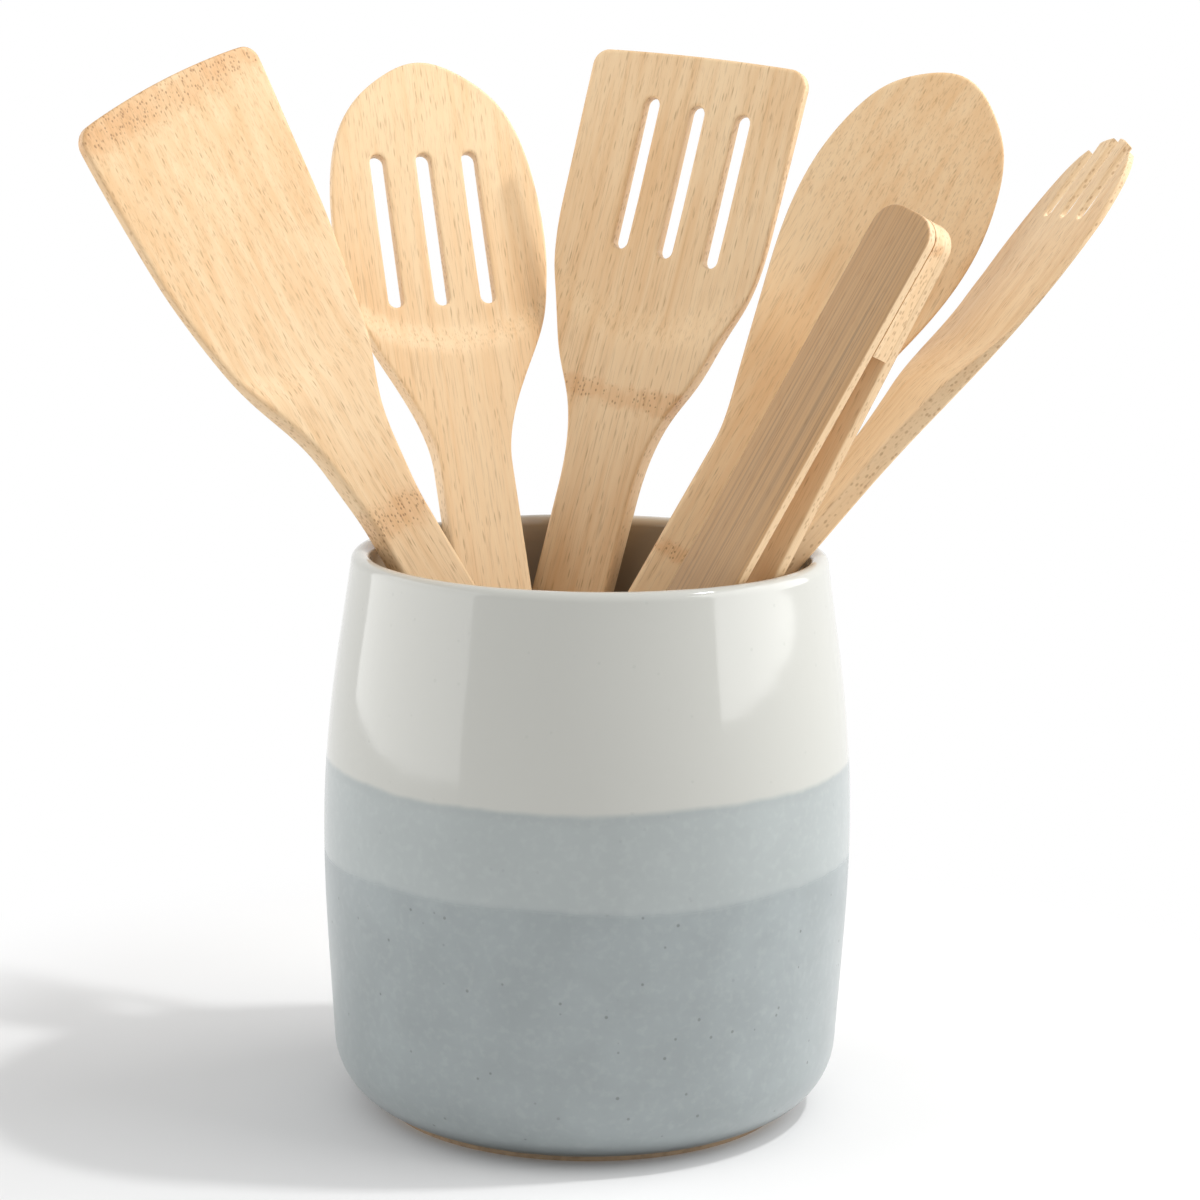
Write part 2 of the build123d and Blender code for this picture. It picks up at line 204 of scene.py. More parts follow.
class SlottedSpoonSettings(bpy.types.PropertyGroup):
    """Sizes of the slotted spoon."""
    length: size("Length", "From the foot to the tip", 0.3005)
    handle: size("Handle width", "Width at the foot", 0.022)
    neck: size("Neck width", "Width where the bowl begins to spread", 0.022)
    head: size("Bowl width", "Width of the bowl", 0.0636)
    rise: size("Bend", "How far the tip comes forward", 0.003)
    hollow: size("Hollow", "Depth of the bowl", 0.0024)
    ramp: size("Ramp", "Length over which the hollow reaches its depth", 0.011)


class SolidSpoonSettings(bpy.types.PropertyGroup):
    """Sizes of the solid spoon."""
    length: size("Length", "From the foot to the tip", 0.3125)
    handle: size("Handle width", "Width at the foot", 0.022)
    neck: size("Neck width", "Width where the bowl begins to spread", 0.0224)
    head: size("Bowl width", "Width of the bowl", 0.053)
    rise: size("Bend", "How far the tip comes forward", 0.014)
    hollow: size("Hollow", "Depth of the bowl", 0.004)
    ramp: size("Ramp", "Length over which the hollow reaches its depth", 0.034)


class SporkSettings(bpy.types.PropertyGroup):
    """Sizes of the spork."""
    length: size("Length", "From the foot to the tips of the tines", 0.312)
    thickness: size("Thickness", "Thickness of the handle", 0.006)
    handle: size("Handle width", "Width at the foot", 0.015)
    neck: size("Neck width", "Width where the bowl begins to spread", 0.0206)
    head: size("Bowl width", "Width of the bowl", 0.056)
    rise: size("Bend", "How far the tines come forward", 0.006)
    hollow: size("Hollow", "Depth of the bowl", 0.0036)
    ramp: size("Ramp", "Length over which the hollow reaches its depth", 0.026)
    tine_gap: size("Tine gap", "Width of the cuts between the tines", 0.005)
    tine_length: size("Tine length", "Length of the cuts", 0.027)
    tine_pitch: size("Tine pitch", "Distance between the cuts", 0.0124)


class TongsSettings(bpy.types.PropertyGroup):
    """Sizes of the tongs."""
    length: size("Length", "From the tips of the arms to the joined end", 0.255)
    width: size("Width", "Width of the arms", 0.0185)
    arm: size("Arm thickness", "Thickness of each arm", 0.004)
    wedge: size("Wedge length", "Length of the wedge between the arms", 0.038)
    wedge_top: size("Wedge top", "Thickness of the wedge at the joined end", 0.0046)
    wedge_bottom: size("Wedge bottom", "Thickness of the wedge at its lower edge", 0.0069)
    end_corner: size("End corner", "Rounding of the joined end", 0.0065)
    tip_corner: size("Tip corner", "Rounding of the arms' tips", 0.005)
    glue: size("Glue line", "Room for the glue between wedge and arm", 0.00005)


class StageSettings(bpy.types.PropertyGroup):
    """Floor, lamps and camera."""
    right_power: FloatProperty(name="Right power", description="Power of the right softbox in watts", default=11.3)
    left_power: FloatProperty(name="Left power", description="Power of the left softbox in watts", default=8.0)
    key_power: FloatProperty(name="Key power", description="Power of the lamp that casts the shadow", default=4.4)
    ambient: share("Ambient", "Light from all round", 0.55)
    floor_seen: share("Floor seen", "Brightness of the floor for the camera", 0.78)
    floor_bounce: share("Floor bounce", "Brightness of the floor for light that bounces off it", 0.85)
    fade_start: size("Fade start", "Where the floor begins to turn plain white", 0.17)
    fade_end: size("Fade end", "Where the floor is plain white", 0.26)
    floor_radius: size("Floor radius", "Radius of the floor", 2.2)


# Node trees

class Nodes:
    """Adds nodes to a tree and joins them; a value may be a number, a colour or another node's output."""

    def __init__(self, tree):
        self.tree = tree

    def add(self, kind, settings=None, **inputs):
        """A new node with its settings and inputs; an input's name has an underscore for each space."""
        node = self.tree.nodes.new(kind)
        for name, value in (settings or {}).items():
            setattr(node, name, value)
        for name, value in inputs.items():
            self.feed(node.inputs[name.replace("_", " ")], value)
        return node

    def feed(self, socket, value):
        """Links another node's output to a socket, or sets the socket's own value."""
        if isinstance(value, bpy.types.NodeSocket):
            self.tree.links.new(value, socket)
        elif value is not None:
            socket.default_value = value

    def math(self, operation, a, b=None, c=None):
        """The result of an operation on numbers."""
        node = self.add("ShaderNodeMath", {"operation": operation})
        for socket, value in zip(node.inputs, (a, b, c)):
            self.feed(socket, value)
        return node.outputs[0]

    def less(self, value):
        """One less the value."""
        return self.math("SUBTRACT", 1.0, value)

    def times(self, a, b):
        """The product of two numbers."""
        return self.math("MULTIPLY", a, b)

    def plus(self, a, b):
        """The sum of two numbers."""
        return self.math("ADD", a, b)

    def minus(self, a, b):
        """The difference of two numbers."""
        return self.math("SUBTRACT", a, b)

    def vector(self, operation, a, b=None):
        """The result of an operation on vectors."""
        node = self.add("ShaderNodeVectorMath", {"operation": operation})
        for socket, value in zip(node.inputs, (a, b)):
            self.feed(socket, value)
        return node.outputs[0]

    def mix(self, share_of_b, a, b, blend="MIX"):
        """Two colours mixed."""
        node = self.add("ShaderNodeMix", {"data_type": "RGBA", "blend_type": blend})
        self.feed(node.inputs[0], share_of_b)
        self.feed(node.inputs[6], rgba(a))
        self.feed(node.inputs[7], rgba(b))
        return node.outputs[2]

    def step(self, value, low, high):
        """A smooth step from nothing at low to one at high."""
        node = self.add("ShaderNodeMapRange", {"interpolation_type": "SMOOTHSTEP", "clamp": True})
        for name, item in (("Value", value), ("From Min", low), ("From Max", high)):
            self.feed(node.inputs[name], item)
        return node.outputs["Result"]

    def noise(self, place, scale=1.0, detail=2.0, roughness=0.5):
        """Soft noise between nothing and one."""
        return self.add("ShaderNodeTexNoise", None, Vector=place, Scale=scale, Detail=detail,
                        Roughness=roughness).outputs["Fac"]

    def cells(self, place, scale=1.0):
        """The distance to the nearest cell's centre and that cell's own colour."""
        node = self.add("ShaderNodeTexVoronoi", None, Vector=place, Scale=scale)
        return node.outputs["Distance"], node.outputs["Color"]

    def split(self, vector):
        """A vector's three numbers."""
        return self.add("ShaderNodeSeparateXYZ", None, Vector=vector).outputs


def rgba(value):
    """A colour of three numbers with its alpha, and anything else as it is."""
    if isinstance(value, bpy.types.NodeSocket):
        return value
    return (*value, 1.0)[:4]


def shade(colour_given, strength):
    """A colour made lighter or darker."""
    return tuple(strength * c for c in colour_given)


def new_group(name, inputs, outputs):
    """An empty shader node group with its sockets."""
    tree = bpy.data.node_groups.new(name, "ShaderNodeTree")
    for label, kind, default in inputs:
        socket = tree.interface.new_socket(label, in_out="INPUT", socket_type=kind)
        if default is not None:
            socket.default_value = default
    for label, kind in outputs:
        tree.interface.new_socket(label, in_out="OUTPUT", socket_type=kind)
    return tree, tree.nodes.new("NodeGroupInput").outputs, tree.nodes.new("NodeGroupOutput").inputs


def bamboo_grain_group():
    """Fibres, fibre bundles and node bands of a bamboo board, from a place along the board's own axes."""
    tree, given, result = new_group("Bamboo grain", (
        ("Place", "NodeSocketVector", None),
        ("Seed", "NodeSocketFloat", 0.0),
        ("Pale", "NodeSocketColor", (0.8, 0.6, 0.4, 1.0)),
        ("Warm", "NodeSocketColor", (0.7, 0.5, 0.3, 1.0)),
        ("Streak", "NodeSocketColor", (0.3, 0.2, 0.1, 1.0)),
        ("Streaks", "NodeSocketFloat", 0.5),
        ("First Band", "NodeSocketFloat", NO_BAND),
        ("Second Band", "NodeSocketFloat", NO_BAND),
        ("Band Width", "NodeSocketFloat", 0.004),
        ("Side", "NodeSocketFloat", 0.0),
        ("Side Tone", "NodeSocketColor", (0.6, 0.45, 0.28, 1.0)),
    ), (("Color", "NodeSocketColor"), ("Roughness", "NodeSocketFloat"), ("Height", "NodeSocketFloat")))
    n = Nodes(tree)
    shift = n.vector("SCALE", (1.37, 0.71, 2.11))
    n.feed(shift.node.inputs["Scale"], given["Seed"])
    place = n.vector("ADD", given["Place"], shift)
    fibres = n.noise(n.vector("MULTIPLY", place, FIBRES), detail=2.0, roughness=0.55)
    strips = n.noise(n.vector("MULTIPLY", place, STRIPS), detail=2.0)
    clouds = n.noise(n.vector("MULTIPLY", place, CLOUDS), detail=1.0)
    warmth = n.plus(n.times(strips, 0.55), n.times(clouds, 0.55))
    warmth = n.step(warmth, 0.36, 0.80)
    body = n.mix(warmth, given["Pale"], given["Warm"])
    lines = n.step(fibres, 0.50, 0.72)
    body = n.mix(n.times(lines, 0.26), body, given["Streak"])
    near, tint = n.cells(n.vector("MULTIPLY", place, BUNDLES))
    chosen = n.step(n.split(tint)[0], 0.42, 0.70)
    bundles = n.times(n.less(n.step(near, 0.12, 0.36)), chosen)
    bundles = n.times(bundles, given["Streaks"])
    body = n.mix(bundles, body, given["Streak"])
    sides, side_tint = n.cells(n.vector("MULTIPLY", place, SIDE_SPECKS))
    ends = n.less(n.step(sides, 0.20, 0.45))
    ends = n.times(n.times(ends, n.step(n.split(side_tint)[0], 0.30, 0.55)), given["Side"])
    body = n.mix(n.times(given["Side"], 0.45), body, given["Side Tone"])
    body = n.mix(n.times(ends, 0.48), body, given["Streak"])
    along = n.split(given["Place"])[2]
    wander = n.times(n.minus(n.noise(given["Place"], scale=210.0, detail=2.0), 0.5), 0.010)
    along = n.plus(along, wander)
    nearness = []
    for name in ("First Band", "Second Band"):
        away = n.math("ABSOLUTE", n.minus(along, given[name]))
        nearness.append(n.less(n.step(n.math("DIVIDE", away, given["Band Width"]), 0.15, 1.0)))
    band = n.math("MAXIMUM", *nearness)
    dots, dot_tint = n.cells(n.vector("MULTIPLY", place, BAND_SPECKS))
    specks = n.times(n.less(n.step(dots, 0.20, 0.45)), n.step(n.split(dot_tint)[1], 0.25, 0.5))
    body = n.mix(n.times(band, 0.34), body, given["Warm"], "MULTIPLY")
    body = n.mix(n.times(n.times(specks, band), 0.72), body, given["Streak"])
    n.feed(result["Color"], body)
    rough = n.plus(0.40, n.times(fibres, 0.16))
    n.feed(result["Roughness"], n.plus(rough, n.times(bundles, 0.12)))
    dip = n.times(n.math("MAXIMUM", bundles, n.times(specks, band)), -0.7)
    n.feed(result["Height"], n.plus(n.times(fibres, 0.55), dip))
    return tree


def blank_material(name, base):
    """A material with one Principled BSDF."""
    material = bpy.data.materials.new(name)
    material.use_nodes = True
    material.diffuse_color = rgba(base)
    material.node_tree.nodes.clear()
    nodes = Nodes(material.node_tree)
    shader = nodes.add("ShaderNodeBsdfPrincipled")
    nodes.add("ShaderNodeOutputMaterial", None, Surface=shader.outputs[0])
    return material, nodes, shader


def bamboo_material(name, seed, tones, streaks, bands=(NO_BAND, NO_BAND), band_width=0.005, skin=None):
    """Bamboo along a board's own axes; skin is the colour and depth of a darker outer face."""
    pale, warm, streak = tones
    material, n, shader = blank_material(name, pale)
    place = n.add("ShaderNodeAttribute", {"attribute_name": "board"}).outputs["Vector"]
    grain = n.add("ShaderNodeGroup", {"node_tree": bamboo_group()})
    depth = n.math("ABSOLUTE", n.add("ShaderNodeAttribute", {"attribute_name": "depth"}).outputs["Fac"])
    side = n.less(n.step(depth, 0.72, 0.93))
    side_tone = bpy.context.scene.bamboo.side
    values = {"Side": side, "Side Tone": rgba(side_tone), "Place": place, "Seed": seed, "Pale": rgba(pale),
              "Warm": rgba(warm), "Streak": rgba(streak), "Streaks": streaks, "First Band": bands[0],
              "Second Band": bands[1], "Band Width": band_width}
    for key, value in values.items():
        n.feed(grain.inputs[key], value)
    surface = grain.outputs["Color"]
    if skin:
        skin_colour, skin_depth = skin
        lines = n.noise(n.vector("MULTIPLY", place, SKIN_LINES), detail=3.0, roughness=0.6)
        lined = n.mix(n.step(lines, 0.42, 0.72), skin_colour, shade(skin_colour, 0.52))
        near_face = n.less(n.step(n.split(place)[1], 0.4 * skin_depth, skin_depth))
        surface = n.mix(n.times(near_face, 0.80), surface, lined)
    n.feed(shader.inputs["Base Color"], surface)
    n.feed(shader.inputs["Roughness"], grain.outputs["Roughness"])
    shader.inputs["Specular IOR Level"].default_value = 0.42
    bump = n.add("ShaderNodeBump", None, Strength=0.35, Distance=0.00022, Height=grain.outputs["Height"])
    n.feed(shader.inputs["Normal"], bump.outputs[0])
    return material


def glaze_material(sizes):
    """The crock's three glazes, its plain inside and its bare foot."""
    material, n, shader = blank_material("banded_stoneware_glaze", sizes.top_glaze)
    place = n.add("ShaderNodeTexCoord").outputs["Object"]
    z = n.split(place)[2]
    slow = n.minus(n.noise(place, scale=17.0, detail=1.0), 0.5)
    quick = n.minus(n.noise(place, scale=120.0, detail=2.0), 0.5)
    wave = n.plus(n.times(slow, 0.0042), n.times(quick, 0.0012))
    level = n.plus(z, wave)
    above_upper = n.step(level, sizes.upper_line - 0.0010, sizes.upper_line + 0.0010)
    above_lower = n.step(level, sizes.lower_line - 0.0012, sizes.lower_line + 0.0014)
    mottle = n.noise(place, scale=46.0, detail=4.0, roughness=0.6)
    fine = n.noise(place, scale=420.0, detail=2.0)
    bottom = n.mix(n.step(mottle, 0.30, 0.74), sizes.bottom_glaze, shade(sizes.bottom_glaze, 1.13))
    middle = n.mix(n.step(mottle, 0.30, 0.74), sizes.middle_glaze, shade(sizes.middle_glaze, 1.05))
    surface = n.mix(above_lower, bottom, middle)
    surface = n.mix(above_upper, surface, sizes.top_glaze)
    from_edge = n.math("ABSOLUTE", n.minus(level, sizes.upper_line - 0.0012))
    edge = n.less(n.step(from_edge, 0.0, 0.0022))
    surface = n.mix(n.times(edge, 0.12), surface, shade(sizes.middle_glaze, 0.7))
    spots, spot_tint = n.cells(place, scale=330.0)
    chosen = n.step(n.split(spot_tint)[0], 0.84, 0.90)
    pits = n.times(n.less(n.step(spots, 0.10, 0.20)), chosen)
    pits = n.times(pits, n.less(n.times(above_lower, 0.85)))
    surface = n.mix(n.times(pits, 0.55), surface, (0.10, 0.11, 0.10))
    flecks = n.minus(0.07, n.times(above_upper, 0.06))
    surface = n.mix(n.times(n.step(fine, 0.45, 0.75), flecks), surface, (0.62, 0.64, 0.62))
    inside = n.add("ShaderNodeAttribute", {"attribute_name": "inside"}).outputs["Fac"]
    surface = n.mix(n.step(inside, 0.35, 0.95), surface, sizes.inside_glaze)
    # Outside, the glaze is made darker in a band just above the bare foot
    darker_above_foot = n.less(n.step(z, 0.0022, 0.0085))
    surface = n.mix(n.times(darker_above_foot, n.less(inside)), surface, shade(sizes.bottom_glaze, 0.48))
    bare = n.less(n.step(n.plus(z, n.times(quick, 0.0008)), 0.0013, 0.0020))
    clay = n.mix(n.step(fine, 0.4, 0.7), sizes.bare_clay, shade(sizes.bare_clay, 0.8))
    surface = n.mix(bare, surface, clay)
    n.feed(shader.inputs["Base Color"], surface)
    satin = n.minus(0.30, n.times(above_lower, 0.10))
    satin = n.minus(satin, n.times(above_upper, 0.115))
    satin = n.plus(satin, n.times(bare, 0.5))
    n.feed(shader.inputs["Roughness"], n.plus(satin, n.times(pits, 0.2)))
    height = n.plus(n.times(n.noise(place, scale=70.0, detail=2.0), 0.8),
                    n.times(above_upper, 0.5))
    height = n.minus(height, n.times(pits, 0.9))
    bump = n.add("ShaderNodeBump", None, Strength=0.25, Distance=0.0003, Height=height)
    n.feed(shader.inputs["Normal"], bump.outputs[0])
    return material


# Lines and outlines

def smooth_line(knots, first, last, steps):
    """Points of the smooth cubic through the knots that leaves along first and arrives along last."""
    knots = np.array(knots, float)
    spans = np.linalg.norm(np.diff(knots, axis=0), axis=1)
    count = len(knots)
    system = np.eye(count)
    sides = np.zeros_like(knots)
    sides[0] = np.array(first) / np.linalg.norm(first)
    sides[-1] = np.array(last) / np.linalg.norm(last)
    for i in range(1, count - 1):
        before, after = spans[i - 1], spans[i]
        system[i, i - 1:i + 2] = (after, 2 * (before + after), before)
        sides[i] = 3 * (after / before * (knots[i] - knots[i - 1]) + before / after * (knots[i + 1] - knots[i]))
    slopes = np.linalg.solve(system, sides)
    points = []
    for i in range(count - 1):
        for t in np.arange(steps) / steps:
            points.append((2 * t ** 3 - 3 * t ** 2 + 1) * knots[i] + (3 * t ** 2 - 2 * t ** 3) * knots[i + 1]
                          + (t ** 3 - 2 * t ** 2 + t) * spans[i] * slopes[i]
                          + (t ** 3 - t ** 2) * spans[i] * slopes[i + 1])
    return [tuple(map(float, p)) for p in points] + [tuple(map(float, knots[-1]))]


def arc_from(start, heading, end, steps):
    """Points of the arc that leaves start along heading and ends at end."""
    start, heading, end = Vector(start), Vector(heading).normalized(), Vector(end)
    inward = Vector((-heading.y, heading.x))
    chord = end - start
    radius = chord.length_squared / (2 * chord.dot(inward))
    centre = start + inward * radius
    spoke = start - centre
    whole = 2 * math.atan2(chord.dot(inward), chord.dot(heading))
    points = []
    for i in range(steps + 1):
        turned = Matrix.Rotation(whole * i / steps, 2) @ spoke
        points.append(tuple(centre + turned))
    return points


def rounded_corner(corner, before, after, radius, steps=6):
    """Points that round the corner between the directions to before and after."""
    corner, before, after = Vector(corner), Vector(before), Vector(after)
    one, two = (before - corner).normalized(), (after - corner).normalized()
    reach = radius / math.tan(one.angle(two) / 2)
    return arc_from(corner + one * reach, -one, corner + two * reach, steps)


def both_sides(right):
    """A closed outline from its right half, which runs from the bottom to the top."""
    left = [(-x, z) for x, z in reversed(right) if abs(x) > MERGE_DISTANCE]
    return right + left


def head_edge(s, shares):
    """Knots of a head's right edge from shares of the length and of the spread."""
    spread = (s.head - s.neck) / 2
    return [(s.neck / 2 + spread * out, s.length * along) for along, out in shares]


def spoon_outline(s, side_shares, tip_shares):
    """A spoon's outline on its face."""
    side = head_edge(s, side_shares)
    tip = [(s.head / 2 * out, s.length * along) for along, out in tip_shares]
    foot = rounded_corner((s.handle / 2, 0), (0, 0), side[0], FOOT_CORNER)
    return both_sides(foot + smooth_line([*side, *tip, (0, s.length)], (0, 1), (-1, 0), 9))


def turner_outline(s, side_shares, bulge, slant):
    """A turner's outline on its face; its end bulges in the middle and rises to the right by the slant."""
    halves = []
    ends = [(sign * s.head / 2, s.length - bulge + sign * slant / 2) for sign in (1, -1)]
    crown = circle_through(ends[0], (0, s.length), ends[1], 18)
    for sign, end, along_crown in ((1, ends[0], crown), (-1, ends[1], crown[::-1])):
        side = [(sign * x, z) for x, z in head_edge(s, side_shares)]
        foot = rounded_corner((sign * s.handle / 2, 0), (0, 0), side[0], FOOT_CORNER)
        line = smooth_line([*side, end], (0, 1), (0, 1), 9)
        line = [p for p in line if p[1] < end[1] - s.corner]
        corner = rounded_corner(end, line[-1], along_crown[3], s.corner, 8)
        halves.append((foot + line, corner))
    right, right_corner = halves[0]
    left, left_corner = halves[1]
    top = [p for p in crown if left_corner[-1][0] + 0.001 < p[0] < right_corner[-1][0] - 0.001]
    return right + right_corner + top + left_corner[::-1] + left[::-1]


def circle_through(first, middle, last, steps):
    """Points of the arc through three points."""
    (ax, ay), (bx, by), (cx, cy) = first, middle, last
    twice = 2 * (ax * (by - cy) + bx * (cy - ay) + cx * (ay - by))
    aa, bb, cc = ax * ax + ay * ay, bx * bx + by * by, cx * cx + cy * cy
    ux = (aa * (by - cy) + bb * (cy - ay) + cc * (ay - by)) / twice
    uy = (aa * (cx - bx) + bb * (ax - cx) + cc * (bx - ax)) / twice
    radius = math.hypot(ax - ux, ay - uy)
    start = math.atan2(ay - uy, ax - ux)
    whole = (math.atan2(cy - uy, cx - ux) - start) % (2 * math.pi)
    return [(ux + radius * math.cos(start + whole * i / steps), uy + radius * math.sin(start + whole * i / steps))
            for i in range(steps + 1)]


def slot_outlines(s, length, pitch, shift, inset):
    """Three round-ended slots side by side, whose upper ends lie an inset below the board's end."""
    rings = []
    radius = SLOT_WIDTH / 2
    top = s.length - inset
    for index in (-1, 0, 1):
        x = index * pitch + shift
        ring = []
        for centre, start in ((top - radius, 0.0), (top - length + radius, math.pi)):
            for i in range(ARC_STEPS + 1):
                angle = start + math.pi * i / ARC_STEPS
                ring.append((x + radius * math.cos(angle), centre + radius * math.sin(angle)))
        rings.append(ring)
    return rings


# Boards

def flat_board(outline, holes, thickness, edge):
    """A flat board in the XZ plane with rounded edges, as a bmesh."""
    bm = bmesh.new()
    for ring in (outline, *holes):
        corners = [bm.verts.new((x, -thickness / 2, z)) for x, z in ring]
        for one, two in zip(corners, corners[1:] + corners[:1]):
            bm.edges.new((one, two))
    bmesh.ops.triangle_fill(bm, use_beauty=True, use_dissolve=False, edges=bm.edges[:], normal=(0, -1, 0))
    bmesh.ops.dissolve_limit(bm, angle_limit=0.001, use_dissolve_boundaries=False, verts=[], edges=bm.edges[:])
    bmesh.ops.recalc_face_normals(bm, faces=bm.faces[:])
    front = bm.faces[:]
    if front[0].normal.y > 0:
        bmesh.ops.reverse_faces(bm, faces=front)
    made = bmesh.ops.extrude_face_region(bm, geom=front, use_keep_orig=True)["geom"]
    moved = [item for item in made if isinstance(item, bmesh.types.BMVert)]
    bmesh.ops.translate(bm, vec=(0, thickness, 0), verts=moved)
    bmesh.ops.recalc_face_normals(bm, faces=bm.faces[:])
    rims = [e for e in bm.edges if len(e.link_faces) == 2
            and sum(abs(f.normal.y) > 0.99 for f in e.link_faces) == 1]
    bmesh.ops.bevel(bm, geom=rims, offset=edge, offset_type="OFFSET", segments=EDGE_SEGMENTS, profile=0.5,
                    affect="EDGES", clamp_overlap=True, material=-1)
    return bm


def cut_across(bm, axis, low, high, pitch):
    """Cuts the mesh by even planes along an axis, so that it can bend smoothly."""
    count = max(1, round((high - low) / pitch))
    normal = Vector((axis == 0, axis == 1, axis == 2))
    for i in range(1, count):
        everything = bm.verts[:] + bm.edges[:] + bm.faces[:]
        bmesh.ops.bisect_plane(bm, geom=everything, dist=MERGE_DISTANCE, plane_no=normal,
                               plane_co=normal * (low + (high - low) * i / count))


def bent_faces(s, thickness):
    """Two functions that give the Y of a utensil's front and back at any place on its face."""
    start = BEND_START_SHARE * s.length
    radius = (s.length - start) ** 2 / (2 * s.rise)
    thin_radius = (s.length - start) ** 2 / (2 * (s.rise + thickness * (1 - TIP_THICKNESS_SHARE)))
    crease = CREASE_SHARE * s.length
    half = CREASE_HALF_WIDTH_SHARE * s.head

    def front(x, z):
        y = -thickness / 2
        if z > start:
            y = -radius + math.sqrt((radius - thickness / 2) ** 2 - (z - start) ** 2)
        rise = CREASE_RISE_SHARE * s.head * (1 - math.sqrt(max(0.0, 1 - (x / half) ** 2)))
        ramp = min(1.0, max(0.0, (z - crease - rise) / s.ramp))
        fade = min(1.0, max(0.0, (s.length - z) / (0.5 * (s.length - crease))))
        return y + s.hollow * ramp * ramp * (3 - 2 * ramp) * (TIP_HOLLOW_SHARE + (1 - TIP_HOLLOW_SHARE) * fade)

    def back(x, z):
        y = thickness / 2 - x ** 2 / (2 * BACK_RADIUS)
        if z > start:
            crown = -radius + math.sqrt((radius + y) ** 2 - (z - start) ** 2)
            thinned = thickness / 2 - thin_radius + math.sqrt(thin_radius ** 2 - (z - start) ** 2)
            y = min(crown, thinned)
        return y

    return front, back


def bend_board(bm, faces, thickness):
    """Moves a flat board's points so that its front and back lie on the two given faces."""
    front, back = faces
    layer = bm.verts.layers.float.new("depth")
    for v in bm.verts:
        x, y, z = v.co
        share_back = y / thickness + 0.5
        v[layer] = 2 * y / thickness
        near, far = front(x, z), back(x, z)
        v.co.y = near + (far - near) * share_back


def standing(foot, along, across):
    """The matrix that stands a board in the crock, from its foot in millimetres."""
    along = Vector(along).normalized()
    across = (Vector(across) - along * along.dot(Vector(across))).normalized()
    back = along.cross(across)
    turn = Matrix((across, back, along)).transposed().to_4x4()
    return Matrix.Translation(Vector(foot) / 1000) @ turn


def new_piece(name, bm, material, node, slot):
    """Makes an object of the mesh, in place of a node of the frame."""
    mesh = bpy.data.meshes.new(name)
    bm.to_mesh(mesh)
    bm.free()
    mesh.materials.append(material)
    for polygon in mesh.polygons:
        polygon.use_smooth = True
    mesh.set_sharp_from_angle(angle=SHARP_ANGLE)
    piece = bpy.data.objects.new(name, mesh)
    bpy.context.scene.collection.objects.link(piece)
    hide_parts(node)
    return piece


def mark_board(bm, matrix):
    """Keeps each point's place along the board's own axes for the grain, then stands the board."""
    layer = bm.verts.layers.float_vector.new("board")
    for v in bm.verts:
        v[layer] = v.co
    bmesh.ops.transform(bm, matrix=matrix, verts=bm.verts[:])


def make_utensil(name, outline, holes, material, thickness=BOARD_THICKNESS):
    """A bent and hollowed utensil standing in the crock."""
    s = getattr(bpy.context.scene, name)
    bm = flat_board(outline, holes, thickness, bpy.context.scene.bamboo.edge)
    start = FINE_ABOVE_SHARE * s.length
    cut_across(bm, 2, start, s.length, GRID_PITCH)
    cut_across(bm, 2, 0.0, start, start / HANDLE_CUTS)
    cut_across(bm, 0, -s.head / 2, s.head / 2, GRID_PITCH)
    bend_board(bm, bent_faces(s, thickness), thickness)
    mark_board(bm, standing(*STANDS[name]))
    piece = new_piece(name + "_board", bm, material, name, "bamboo")
    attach(piece, name)


def bamboo_group():
    """The shared grain, built once."""
    return bpy.data.node_groups.get("Bamboo grain") or bamboo_grain_group()


def toned(pale, warm):
    """The bamboo's three colours, the first two made lighter or darker."""
    b = bpy.context.scene.bamboo
    tones = ((pale, b.pale), (warm, b.warm), (1.0, b.streak))
    return tuple(tuple(min(1.0, strength * c) for c in tone) for strength, tone in tones)


# Operators

